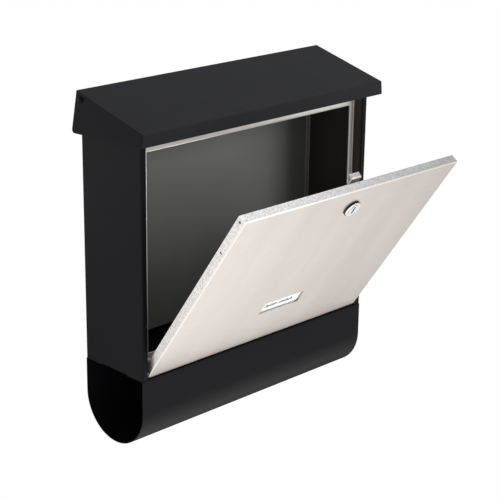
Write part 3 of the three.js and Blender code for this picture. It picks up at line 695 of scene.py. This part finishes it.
def scrawl(start, loops):
    points = []
    for i in range(loops * LOOP_STEPS + 1):
        turn = 2 * math.pi * i / LOOP_STEPS
        swing = 1 + HEIGHT_SWING * math.sin(turn * SWING_RATE + start / MM)
        rise = LOOP_HEIGHT * swing * (1 - math.cos(turn)) / 2
        across = start + LOOP_PITCH * (i / LOOP_STEPS - BACKWARD_SWING * math.sin(turn)) + SLANT * rise
        points.append(on_card(across, rise + BASE_LINE))
    return points


curve = bpy.data.curves.new("pen_scrawl", "CURVE")
curve.dimensions = "3D"
curve.bevel_depth = NIB_RADIUS
curve.bevel_resolution = 1
curve.use_fill_caps = True
for start, loops in STROKES:
    add_path(curve, scrawl(start, loops))
pen = link("pen_scrawl", curve_mesh(curve), ink)
settle(pen, "door", "paper")
print(len(STROKES), "strokes of the pen")

# %% [markdown]
# ## Studio
# The box hangs in a plain white studio. Satin black paint shows mostly what it reflects, so the room around it is
# broad and even, with a little more light from above. The floor glows rather than being lit. Curved sheet seen edge
# on mirrors the floor behind the box strongly, so a dark patch of painted shadow lies there in the floor's glow.
# The open door mirrors the floor in front of it, whose glow is painted bright on the left and falling off to the
# right.
# The camera itself sees a clean white floor.

# %% Floor
SHADOW_PATCH_CENTRE = (0.6, 1.3)
SHADOW_PATCH_HALF = (1.65, 1.42)
SHADOW_PATCH_DARK = 0.04
SHADOW_PATCH_SOFT_EDGE = 0.12
FLOOR_BRIGHT = 1.42
FLOOR_FAR = 0.78
FALL_OFF = (0.3, 0.9)
FLOOR_BELOW = 0.35
FLOOR_SIZE = 60

scene.view_settings.view_transform = "Standard"
bpy.ops.mesh.primitive_plane_add(size=FLOOR_SIZE, location=(0, 0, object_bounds()[0].z - FLOOR_BELOW))
floor = bpy.context.object
floor.name = "studio_floor"
# the floor glows, and its glow is painted with light on the left and a patch of shadow behind the box
pale, tree, shader = new_material("glowing_floor_painted_light_and_shadow", "#000000", 1.0, Specular_IOR_Level=0.0)
shader.inputs["Emission Color"].default_value = linear("#ffffff")
place = add(tree, "ShaderNodeTexCoord")
centred = add(tree, "ShaderNodeMapping", {
    "Vector": (place, "Object"), "Scale": (1 / SHADOW_PATCH_HALF[0], 1 / SHADOW_PATCH_HALF[1], 1),
    "Location": (-SHADOW_PATCH_CENTRE[0] / SHADOW_PATCH_HALF[0], -SHADOW_PATCH_CENTRE[1] / SHADOW_PATCH_HALF[1], 0)})
# painted shadow: a dark patch in the floor's glow behind the box
painted_shadow_patch = add(tree, "ShaderNodeTexGradient", {"Vector": (centred, "Vector")}, gradient_type="SPHERICAL")
across = add(tree, "ShaderNodeSeparateXYZ", {"Vector": (place, "Object")})
# painted light: the floor's glow falls off from left to right
painted_floor_light = add(tree, "ShaderNodeMapRange", {"Value": (across, "X"), "From Min": FALL_OFF[0],
                                             "From Max": FALL_OFF[1], "To Min": FLOOR_BRIGHT,
                                             "To Max": FLOOR_FAR})
shade = add(tree, "ShaderNodeMapRange", {"Value": (painted_shadow_patch, "Fac"), "From Max": SHADOW_PATCH_SOFT_EDGE,
                                         "To Min": (painted_floor_light, "Result"), "To Max": SHADOW_PATCH_DARK})
direct = add(tree, "ShaderNodeLightPath")
shown = add(tree, "ShaderNodeMix", {0: (direct, "Is Camera Ray"), 2: (shade, "Result"), 3: 1.0})
feed(tree, shader, {"Emission Strength": (shown, 0)})
floor.data.materials.append(pale)
print("floor", FLOOR_BELOW, "m below the box")

# %% [markdown]
# ## Lights
# Two soft boxes and an even sky light the box. The upper one is mirrored in the folded top edge of the door, and
# the lower one fills in the front. The sky that lights the box is dimmer than the white that the camera sees.

# %% Soft boxes and sky
SKY_COLOUR = (0.93, 0.95, 1, 1)
SKY_STRENGTH = 0.45


def softbox(name, place, size, watts):
    light = bpy.data.lights.new(name, "AREA")
    light.size = size
    light.energy = watts
    box = bpy.data.objects.new(name, light)
    box.location = place
    box.rotation_euler = (TARGET - Vector(place)).to_track_quat("-Z", "Y").to_euler()
    scene.collection.objects.link(box)
    print(name, watts, "W")


softbox("top_softbox", (0.7, -0.3, 1.6), 1.2, 6)
softbox("front_softbox", (0.9, -2.0, 0.7), 1.0, 16)

world = bpy.data.worlds.new("white_studio")
scene.world = world
world.use_nodes = True
sky = world.node_tree
sky.nodes.clear()
seen = add(sky, "ShaderNodeBackground", {"Color": (1, 1, 1, 1), "Strength": 1.0})
lit = add(sky, "ShaderNodeBackground", {"Color": SKY_COLOUR, "Strength": SKY_STRENGTH})
ray = add(sky, "ShaderNodeLightPath")
choose = add(sky, "ShaderNodeMixShader", {"Fac": (ray, "Is Camera Ray"), 1: (lit, "Background"),
                                          2: (seen, "Background")})
add(sky, "ShaderNodeOutputWorld", {"Surface": (choose, "Shader")})
print("sky strength", SKY_STRENGTH)
